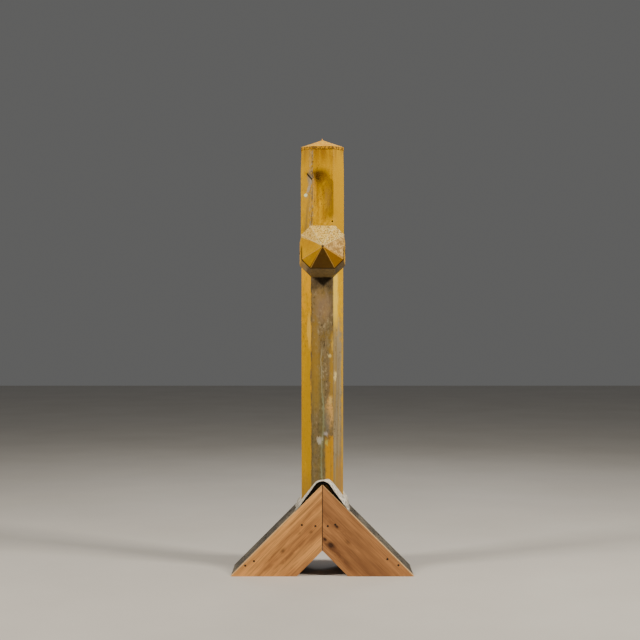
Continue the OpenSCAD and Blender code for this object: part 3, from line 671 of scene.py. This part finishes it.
def trimmed(obj, ends, sides):
    """Cuts a prism out of the piece, given the points of its first and its second end."""
    faces = [tuple(range(sides - 1, -1, -1)), tuple(range(sides, 2 * sides))]
    faces += [(k, (k + 1) % sides, (k + 1) % sides + sides, k + sides) for k in range(sides)]
    tool = build_mesh("cutter", ends, faces, obj.data.materials[0], False)
    opening = obj.modifiers.new("opening", "BOOLEAN")
    opening.operation, opening.object, opening.solver = "DIFFERENCE", tool, "EXACT"
    settle(obj)
    bpy.data.objects.remove(tool)


def bored(obj, centre, axis, radius, length):
    """Cuts a round hole of the given length through the piece's sheet."""
    sides = 24
    turn = Vector(axis).to_track_quat("Z", "Y").to_matrix()
    ends = []
    for along in (-length / 2, length / 2):
        for k in range(sides):
            a = 2 * math.pi * k / sides
            ends.append(Vector(centre) + turn @ Vector((radius * math.cos(a), radius * math.sin(a), along)))
    trimmed(obj, ends, sides)


def upper_size(z):
    share = max(0.0, (z - (upper_high - NECK)) / NECK)
    return (UPPER_HALF + (MAST_HALF - UPPER_HALF) * share, UPPER_CUT + (MAST_CUT - UPPER_CUT) * share, BEND)


upper_paint = mast_finish("upper mast paint", upper_weather)
lower_paint = mast_finish("lower mast paint", lower_weather)
mast_upper = rolled_shell("mast_upper", upper_size, lambda x: upper_low, upper_high, 0.0055, upper_push,
                          UPPER_WALL, upper_paint)
bored(mast_upper, (0.046, -0.100, PIVOT + 0.157), (0, 1, 0), 0.004, 0.03)
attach(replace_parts(mast_upper, "mast_upper_shell"), "mast")
mast_lower = rolled_shell("mast_lower", lambda z: (MAST_HALF, MAST_CUT, BEND),
                          lambda x: RIDGE - abs(x) + 0.0006,
                          lower_high, 0.011, lower_push, MAST_WALL, lower_paint)
bored(mast_lower, (0, 0, PIVOT), (1, 0, 0), 0.0163, 0.22)
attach(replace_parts(mast_lower, "mast_lower_shell"), "mast")

# ---- Corner seams ----
# A narrow folded strip closes the sheet down the left front corner. Its paint is mostly gone,
# and it has lifted here and there, so its edge is ragged.

seam = Finish("worn seam", rough=0.62, metal=0.2)
seam_grain = seam.mottle(70, (1, 1, 0.3), 6, 0.65)
seam_fine = seam.mottle(260, (1, 1, 0.5), 4)
seam_tone = seam.blend(seam.band(seam_grain, 0.38, 0.62), (220, 163, 0), (113, 98, 73))
seam_tone = seam.fleck(seam_tone, (seam_fine, 0.50, 0.72, 0.7, (64, 53, 39)))
seam.raise_by(seam_grain, 0.0010)
seam_metal = seam.done(seam_tone)
SEAM_WALL, SEAM_STEP, SEAM_COLUMNS = 0.0006, 0.006, 4
SEAM_WIDE, SEAM_NARROWEST, SEAM_WIDEST, SEAM_FRAY = 0.006, 0.0035, 0.0095, 0.0012
SEAM_SEED = 7
DIAGONAL = 0.7071


def ragged_seam(name, half, cut, low, high, push):
    rng = random.Random(SEAM_SEED)
    rows = round((high - low) / SEAM_STEP)
    verts, faces = [], []
    wide = SEAM_WIDE
    for r in range(rows + 1):
        z = low + (high - low) * r / rows
        wide += rng.uniform(-SEAM_FRAY, SEAM_FRAY)
        wide = min(SEAM_WIDEST, max(SEAM_NARROWEST, wide))
        lift = 0.0007 + 0.0006 * ripple(0, 0, z, 60, SEAM_SEED)
        for c in range(SEAM_COLUMNS + 1):
            d = 0.0016 + wide * c / SEAM_COLUMNS
            x, y = cut - half - d * DIAGONAL, -half + d * DIAGONAL
            depth = push(x, y, z) - (lift if 0 < c < SEAM_COLUMNS else 0.0001)
            verts.append((x + depth * DIAGONAL, y + depth * DIAGONAL, z))
    wide_row = SEAM_COLUMNS + 1
    for r in range(rows):
        for c in range(SEAM_COLUMNS):
            a = r * wide_row + c
            faces.append((a, a + wide_row, a + wide_row + 1, a + 1))
    obj = build_mesh(name, verts, faces, seam_metal)
    as_sheet(obj, SEAM_WALL)
    return obj


for name, half, cut, push in (("corner_seam_upper", UPPER_HALF, UPPER_CUT, upper_push),
                              ("corner_seam_lower", MAST_HALF, MAST_CUT, lower_push)):
    low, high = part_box(name)
    strip = ragged_seam(name.replace("corner_", "folded_"), half, cut, low.z, high.z, push)
    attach(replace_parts(strip, name), "mast")

# ---- Cap and its tip ----
# A shallow pyramid of folded sheet with a lip round the mast's rim, soldered at the hips, and a
# small turned point. The paint has bleached to a dusty orange on its slopes.

cap = Finish("bleached cap paint", rough=0.7, specular=0.12)
cap_flake = cap.mottle(60, detail=6)
cap_dirt = cap.mottle(150, (1, 1, 0.5), 5, 0.6, 6.0)
cap_tone = cap.blend(cap.band(cap_flake, 0.36, 0.64), (246, 194, 70), (238, 168, 44))
cap_tone = cap.fleck(cap_tone, (cap_dirt, 0.52, 0.74, 0.7, (121, 85, 54)),
                     (cap_flake, 0.62, 0.72, 0.6, (246, 204, 104)))
lip = cap.band(cap.z, 1.9985, 1.9970)
cap_tone = cap.blend(lip, cap_tone, (213, 152, 0))
cap_tone = cap.lay(cap_tone, (88, 66, 39), 0.85, lip, cap.band(cap_dirt, 0.40, 0.55))
cap.raise_by(cap_flake, 0.0009)
cap.raise_by(cap_dirt, 0.0004)
cap_paint = cap.done(cap_tone)
finish_node("mast_cap", cap_paint, 0.0012, 3)
finish_node("cap_tip", cap_paint, 0.0004)

# ---- Arm shell and nose ----
# The arm is a long eight-sided sheet-metal box that narrows to its end. The nose is eight
# leaves folded to a point, with a skirt that is riveted over the arm.

def arm_finish(name, weathered):
    """The arm's paint: a yellow coat and a bleached one, which weathered(f, yellow, worn) joins."""
    f = Finish(name, rough=0.6, specular=0.12)
    f.fine = f.mottle(170, (1, 1, 1), 5, 0.6, 2.0)
    f.broad = f.mottle(12, (1, 0.5, 1), 5, 0.6, 5.0)
    f.run = f.mottle(50, (1, 0.08, 1), 4, 0.6, 9.0)
    f.flakes = f.mottle(70, (1, 1, 1), 6, 0.68, 12.0)
    f.up = f.less(f.z, PIVOT)
    yellow = f.blend(f.band(f.broad, 0.3, 0.7), (224, 170, 0), (202, 144, 0))
    yellow = f.fleck(yellow, (f.fine, 0.56, 0.78, 0.6, (122, 88, 43)),
                     (f.run, 0.52, 0.76, 0.5, (166, 119, 47)))
    worn = f.blend(f.band(f.flakes, 0.40, 0.60), (248, 218, 116), (242, 196, 92))
    worn = f.fleck(worn, (f.flakes, 0.48, 0.41, 0.8, (196, 152, 76)),
                   (f.fine, 0.50, 0.58, 0.85, (132, 98, 44)),
                   (f.fine, 0.44, 0.36, 0.7, (246, 232, 186)), (f.broad, 0.48, 0.62, 0.35, (236, 182, 78)))
    colour = weathered(f, yellow, worn)
    f.raise_by(f.flakes, 0.0008)
    f.raise_by(f.fine, 0.0004)
    return f.done(colour, f.band(f.flakes, 0.35, 0.7, 0.45, 0.7))


def arm_weather(f, yellow, worn):
    """The arm is bleached on top, has painted shade along its belly and down its lower right side, and is
    scraped on its sides.
    """
    up, flakes = f.up, f.flakes
    grey = f.blend(f.band(f.run, 0.4, 0.62), (154, 135, 100), (122, 106, 77))
    colour = f.blend(f.both(f.band(up, -0.030, -0.085), f.band(flakes, 0.28, 0.50)), yellow, grey)
    colour = f.blend(f.both(f.band(up, 0.045, 0.075), f.band(flakes, 0.30, 0.52)), colour, worn)
    # painted shade: the belly and the lower right side are darkened where light from above does not reach
    colour = f.lay(colour, (84, 64, 26), 0.8, f.band(up, -0.076, -0.084))
    colour = f.lay(colour, (80, 66, 40), 0.85, f.band(f.x, 0.050, 0.060), f.band(up, -0.045, -0.055))
    return f.lay(colour, (154, 133, 92), 0.7, f.band(f.size(up), 0.060, 0.040), f.band(flakes, 0.56, 0.68))


# the nose's corners, seen along the arm: where its eight folds run to
FOLD_NEAR, FOLD_FAR = 0.052, 0.0898
FOLDS = [(FOLD_NEAR, FOLD_FAR), (-FOLD_NEAR, FOLD_FAR), (FOLD_FAR, FOLD_NEAR), (-FOLD_FAR, FOLD_NEAR),
         (FOLD_FAR, -FOLD_NEAR), (-FOLD_FAR, -FOLD_NEAR), (FOLD_NEAR, -FOLD_FAR), (-FOLD_NEAR, -FOLD_FAR)]


def nose_weather(f, yellow, worn):
    """Rain has bleached the nose's upper leaves; its lower leaves and the lower half of its ring fold have
    painted shade, and its folds painted highlights.
    """
    up, fine, flakes = f.up, f.fine, f.flakes
    slant = f.size(f.x)
    top = f.band(f.less(up, f.times(slant, 0.42)), 0.001, 0.006)
    colour = f.blend(f.both(top, f.band(flakes, 0.22, 0.40)), yellow, worn)
    tan = f.blend(f.band(flakes, 0.42, 0.58), (236, 194, 120), (170, 132, 76))
    tan = f.fleck(tan, (fine, 0.50, 0.60, 0.7, (140, 108, 66)))
    right_leaf = f.band(f.less(slant, f.times(f.size(up), 1.9)), -0.004, 0.006)
    colour = f.lay(colour, tan, 0.9, f.band(f.x, 0.004, 0.010), right_leaf)
    # painted shade: the lower leaf goes dark brown and the lower right leaf a darker yellow, where light
    # from above does not fall
    low_leaf = f.band(f.less(f.times(up, -1), f.times(slant, 1.55)), -0.006, 0.004)
    low = f.both(f.band(up, -0.002, -0.010), low_leaf)
    colour = f.lay(colour, (78, 50, 12), 0.9, low)
    below = f.plus(f.times(up, 1.9), slant)
    colour = f.lay(colour, (150, 100, 6), 0.85, f.band(f.x, 0.004, 0.008), f.band(below, 0.005, -0.004),
                   f.band(low, 0.6, 0.2))
    # painted highlights: lighter lines along every fold, paler on the upper folds
    for sx, sz in FOLDS:
        n = math.hypot(sx, sz)
        off = f.size(f.less(f.times(f.x, sz / n), f.times(up, sx / n)))
        ahead = f.plus(f.times(f.x, sx / n), f.times(up, sz / n))
        tone, strength = ((250, 226, 170), 0.45) if sz > 0 else ((231, 176, 80), 0.8)
        fold = f.band(f.nudged(off, flakes, 0.0015), 0.0030, 0.0014)
        colour = f.lay(colour, tone, strength, fold, f.band(ahead, 0.0, 0.006))
    # the first two marks are painted shade along the lower half and the bottom of the ring fold
    for tone, strength, *masks in (
            ((30, 20, 10), 0.85, f.band(f.y, -0.7175, -0.7155), f.band(f.z, 1.505, 1.470)),
            ((84, 62, 22), 0.75, f.band(f.y, -0.7165, -0.7150), f.band(up, -0.078, -0.086)),
            ((64, 54, 51), 0.9, f.band(f.y, -0.7935, -0.7965))):
        colour = f.lay(colour, tone, strength, *masks)
    return colour


finish_node("arm_shell", arm_finish("arm paint", arm_weather), 0.0008)
nose_paint = arm_finish("nose paint", nose_weather)
nose_low, nose_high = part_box("arm_nose")
NOSE_HALF, NOSE_CUT, NOSE_WALL = (nose_high.x - nose_low.x) / 2, 0.0378, 0.0016
TIP_Y, RING_Y, SKIRT_Y = nose_low.y, -0.713, nose_high.y
TIP_HALF, TIP_CUT, TIP_BLUNT = 0.0022, 0.0009, 0.0019
FOLD_ROUND, LONGEST_EDGE = 0.0011, 0.011
# dents in the leaves: place from the arm's axis, half width, half height, depth
NOSE_DENTS = [(-0.030, -0.034, 0.014, 0.016, 0.0022), (0.010, 0.050, 0.016, 0.012, 0.0018)]


def octagon_ring(half, cut, y):
    e = half - cut
    return [(half, y, PIVOT + e), (e, y, PIVOT + half), (-e, y, PIVOT + half), (-half, y, PIVOT + e),
            (-half, y, PIVOT - e), (-e, y, PIVOT - half), (e, y, PIVOT - half), (half, y, PIVOT - e)]


def folded_nose():
    form = bmesh.new()
    rings = [[form.verts.new(p) for p in octagon_ring(NOSE_HALF, NOSE_CUT, y)] for y in (SKIRT_Y, RING_Y)]
    tip = [form.verts.new(p) for p in octagon_ring(TIP_HALF, TIP_CUT, TIP_Y + TIP_BLUNT)]
    point = form.verts.new((0, TIP_Y, PIVOT))
    for i in range(8):
        j = (i + 1) % 8
        form.faces.new((rings[0][i], rings[0][j], rings[1][j], rings[1][i]))
        form.faces.new((rings[1][i], rings[1][j], tip[j], tip[i]))
        form.faces.new((tip[i], tip[j], point))
    bmesh.ops.recalc_face_normals(form, faces=form.faces)
    folds = [e for e in form.edges if len(e.link_faces) == 2 and e.calc_face_angle() > 0.3
             and max(v.co.y for v in e.verts) < SKIRT_Y + 0.001
             and min(v.co.y for v in e.verts) > TIP_Y + 0.0005]
    bmesh.ops.bevel(form, geom=folds, offset=FOLD_ROUND, segments=2, profile=0.6, affect="EDGES")
    for _ in range(4):
        long_edges = [e for e in form.edges if e.calc_length() > LONGEST_EDGE]
        if not long_edges:
            break
        bmesh.ops.subdivide_edges(form, edges=long_edges, cuts=1, use_grid_fill=True)
    bmesh.ops.triangulate(form, faces=[f for f in form.faces if len(f.verts) > 4])
    mesh = bpy.data.meshes.new("pointed_nose")
    form.normal_update()
    for v in form.verts:
        fade = ease(v.co.y, TIP_Y, TIP_Y + 0.015)
        dent = 0.0011 * ripple(v.co.x, v.co.y, v.co.z, 42, 1.7) * fade
        dent += dented(v.co.x, v.co.z - PIVOT, NOSE_DENTS) * fade
        v.co -= v.normal * dent
    form.to_mesh(mesh)
    form.free()
    mesh.materials.append(nose_paint)
    obj = link(bpy.data.objects.new("pointed_nose", mesh))
    as_sheet(obj, NOSE_WALL)
    return obj


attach(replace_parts(folded_nose(), "arm_nose"), "arm")

# ---- Rivets and cheek washers ----
# Soft steel rivets close the lap and the nose's skirt, and a pressed washer holds each end of
# the spindle. Paint is left only in their hollows.

rivet = Finish("rubbed rivet steel", rough=0.5, metal=0.5)
rivet_wear = rivet.mottle(190, detail=5)
rivet_tone = rivet.blend(rivet.band(rivet_wear, 0.42, 0.58), (112, 100, 80), (188, 140, 40))
rivet.raise_by(rivet_wear, 0.0004)
rivet_metal = rivet.done(rivet_tone, rivet.band(rivet_wear, 0.3, 0.7, 0.4, 0.7))
for name in ("lap_rivets", "nose_rivets", "cheek_washer_left", "cheek_washer_right"):
    finish_node(name, rivet_metal, 0.0005)

# ---- Bearings ----
# Forged plates are screwed inside the mast, and a turned brass bush in each carries the spindle.
# Old oil has darkened the brass round its bore.

brass = Finish("oiled brass", rough=0.35, metal=1.0)
brass_stain = brass.mottle(130, detail=4)
brass_turned = brass.mottle(600, (1, 0.2, 0.2), 2)
brass.raise_by(brass_turned, 0.0001)
brass_metal = brass.done(brass.blend(brass.band(brass_stain, 0.4, 0.65), (196, 152, 76), (120, 84, 40)),
                         brass.band(brass_stain, 0.35, 0.7, 0.28, 0.5))
for name in ("bearing_bush_left", "bearing_bush_right"):
    finish_node(name, brass_metal, 0.0005)

iron = Finish("black forged iron", rough=0.6, metal=0.7)
scale = iron.mottle(120, detail=6)
iron.raise_by(scale, 0.0006)
iron_metal = iron.done(iron.blend(iron.band(scale, 0.4, 0.66), (52, 50, 50), (96, 78, 62)),
                       iron.band(scale, 0.3, 0.7, 0.45, 0.75))
for name in ("bearing_plate_left", "bearing_plate_right", "rod_guide_upper", "rod_guide_lower", "stop_bar",
             "crank", "rod_yoke", "rod_eye"):
    finish_node(name, iron_metal, 0.0006)

# ---- Spindle, pins and down rod ----
# Bright turned steel: the spindle that the arm turns on, the crank's two pins and the long rod
# that the wire pulls. Fine tool marks run round them.

bright = Finish("turned bright steel", rough=0.32, metal=1.0)
tool_marks = bright.mottle(500, (1, 0.25, 0.25), 2)
film = bright.mottle(60, detail=5)
bright.raise_by(tool_marks, 0.00008)
bright_metal = bright.done(bright.blend(bright.band(film, 0.45, 0.7), (158, 156, 152), (108, 92, 76)),
                           bright.band(film, 0.35, 0.7, 0.26, 0.5))
for name in ("spindle", "crank_pin", "crank_taper_pin", "down_rod"):
    finish_node(name, bright_metal, 0.0004)

# ---- Ridge collar ----
# A bent sheet saddle keeps rain off the ridge round the mast's foot. It was painted white, has
# been hammered to shape by hand, and its lower ends are torn.

white = Finish("chalky white paint", rough=0.7, specular=0.3)
chalk = white.mottle(48, (1, 0.5, 1), 6, 0.65)
scratch = white.mottle(180, (0.4, 1, 0.4), 4, 0.6, 5.0)
under = white.mottle(22, detail=3, shift=9.0)
white_tone = white.blend(white.band(chalk, 0.38, 0.62), (244, 240, 230), (226, 216, 196))
white_tone = white.fleck(white_tone, (scratch, 0.50, 0.62, 0.75, (134, 125, 111)),
                         (under, 0.60, 0.70, 0.6, (121, 116, 108)))
white_tone = white.lay(white_tone, (113, 108, 102), 0.6, white.band(white.z, 0.350, 0.315),
                       white.band(chalk, 0.42, 0.50))
white.raise_by(chalk, 0.0012)
white.raise_by(scratch, 0.0004)
white_paint = white.done(white_tone)


LEAN, CROWN = math.radians(54), 0.045
COLLAR_ROWS, COLLAR_COLUMNS, COLLAR_SEED = 56, 84, 19
COLLAR_WALL, COLLAR_RIM = 0.0018, 0.0003
POST_GAP, POST_FROM, POST_TO = 0.0005, 0.2, 0.6
DEEPEST_TEAR, TEAR_STEP = 0.016, 0.005


def saddle_point(s, top_centre):
    """Point of the saddle's outline a distance s from its crown, with its outward normal."""
    side = 1 if s >= 0 else -1
    run = abs(s) - CROWN * LEAN
    turn = abs(s) / CROWN if run <= 0 else LEAN
    run = max(0.0, run)
    x = CROWN * math.sin(turn) + run * math.cos(turn)
    z = top_centre + CROWN * math.cos(turn) - run * math.sin(turn)
    return side * x, z, side * math.sin(turn), math.cos(turn)


def hammered_collar():
    low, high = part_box("ridge_collar")
    centre = high.z - CROWN
    reach = CROWN * LEAN + (high.x - CROWN * math.sin(LEAN)) / math.cos(LEAN)
    rng = random.Random(COLLAR_SEED)
    tear = [0.0]
    for _ in range(COLLAR_ROWS):
        tear.append(min(DEEPEST_TEAR, max(0.0, tear[-1] + rng.uniform(-TEAR_STEP, TEAR_STEP))))
    verts, faces = [], []
    for j in range(COLLAR_ROWS + 1):
        y = low.y + COLLAR_RIM + (high.y - low.y - 2 * COLLAR_RIM) * j / COLLAR_ROWS
        lifted = ease(y, low.y + 0.002, -0.098)
        for i in range(COLLAR_COLUMNS + 1):
            t = 2 * i / COLLAR_COLUMNS - 1
            s = t * (reach - (tear[j] if t > 0 else tear[COLLAR_ROWS - j]) * abs(t) ** 6)
            x, z, nx, nz = saddle_point(s, centre)
            sink = 0.0022 * ripple(x, y, z, 30, 4.2) + 0.0008 * ripple(x, y, z, 90, 2.0)
            sink *= ease(high.x - abs(x), -0.001, 0.02) * 0.8 + 0.2
            rise = (0.026 * ease(x, 0.0, 0.055) + 0.006 * ease(x, 0.0, -0.05)) * lifted
            rise *= ease(abs(x), high.x, high.x - 0.012) * 0.75 + 0.25
            verts.append((x - nx * sink, y, z - nz * sink + rise))
    wide_row = COLLAR_COLUMNS + 1
    for j in range(COLLAR_ROWS):
        for i in range(COLLAR_COLUMNS):
            a = j * wide_row + i
            faces.append((a, a + 1, a + wide_row + 1, a + wide_row))
    obj = build_mesh("white_collar", verts, faces, white_paint)
    as_sheet(obj, COLLAR_WALL)
    settle(obj)
    e = MAST_HALF + POST_GAP
    c = MAST_CUT
    ring = [(e, e - c), (e - c, e), (c - e, e), (-e, e - c), (-e, c - e), (c - e, -e), (e - c, -e),
            (e, c - e)]
    trimmed(obj, [(x, y, z) for z in (POST_FROM, POST_TO) for x, y in ring], len(ring))
    return obj


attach(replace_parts(hammered_collar(), "ridge_collar"), "mast")

# ---- Ridge felt ----
# A strip of black bitumen felt is bent over the ridge under the front of the collar and seals the gap;
# its near-black also stands in for the shade in that gap, as painted shade. Its mineral face is matt and
# dusty.

felt = Finish("bitumen felt", rough=0.95, specular=0.1)
grit = felt.mottle(700, detail=3)
felt_dust = felt.mottle(40, detail=5)
felt.raise_by(grit, 0.0004)
# painted shade: the felt's near-black also fills in the shade of the gap under the collar
felt_tone = felt.blend(felt.band(felt_dust, 0.5, 0.75, 0, 0.5), (15, 14, 13), (34, 31, 28))
finish_node("ridge_felt", felt.done(felt_tone), 0.001)

bpy.context.view_layer.update()
